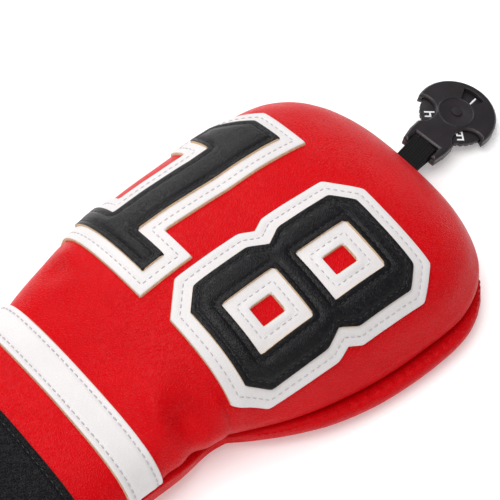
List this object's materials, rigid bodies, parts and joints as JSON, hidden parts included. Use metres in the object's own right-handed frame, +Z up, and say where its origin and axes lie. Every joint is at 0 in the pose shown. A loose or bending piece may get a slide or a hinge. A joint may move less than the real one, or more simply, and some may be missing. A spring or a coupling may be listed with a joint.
{
  "type": "golf driver head cover",
  "caption": "Padded leather driver head cover with two block numerals on its front, a striped waist, a black neck sleeve and a turning number tag on a short strap.",
  "frame": {"origin": "centre of the footprint, on the surface that the cover lies on", "axes": "+X to the right of the numerals, +Y from the mouth to the crown tip, +Z up out of the number face"},
  "size_m": [0.1565, 0.3926, 0.062],
  "materials": {
    "red_leather": "pebbled, semi-matt",
    "black_leather": "grained, semi-matt",
    "white_leather": "smooth, semi-matt",
    "foam": "open-cell foam",
    "lining_plush": "brushed plush",
    "elastic": "woven elastic",
    "binding_tape": "woven tape",
    "webbing": "woven webbing",
    "tag_plastic": "satin moulded",
    "dial_plastic": "satin moulded",
    "dial_print": "printed"
  },
  "bodies": {
    "cover": {"front_panel": "red_leather", "back_panel": "red_leather", "front_padding": "foam", "back_padding": "foam", "front_lining": "lining_plush", "back_lining": "lining_plush", "waist_elastic": "elastic", "front_stripe": "white_leather", "sleeve_front": "black_leather", "sleeve_back": "black_leather", "mouth_binding": "binding_tape", "one_white": "white_leather", "one_foam": "foam", "one_black": "black_leather", "eight_white": "white_leather", "eight_foam": "foam", "eight_black": "black_leather", "strap_tail": "webbing"},
    "strap": {"tag_loop": "webbing"},
    "tag": {"tag_front_plate": "tag_plastic", "tag_back_plate": "tag_plastic", "tag_rivet": "tag_plastic"},
    "dial": {"number_dial": "dial_plastic", "dial_numerals": "dial_print"}
  },
  "joints": [
    {"name": "strap_flex", "type": "hinge", "parent": "cover", "child": "strap", "pos_m": [-0.0074, 0.13737, 0.012], "axis": [0.9767, 0.1769, -0.1212], "range_deg": [-25, 45]},
    {"name": "tag_swing", "type": "hinge", "parent": "strap", "child": "tag", "pos_m": [-0.00977, 0.14958, 0.01069], "axis": [0.9767, 0.1769, -0.1212], "range_deg": [-40, 50]},
    {"name": "dial_spin", "type": "hinge", "parent": "tag", "child": "dial", "pos_m": [-0.01497, 0.17633, 0.00783], "axis": [0.0998, 0.1251, 0.9871], "continuous": true}
  ]
}
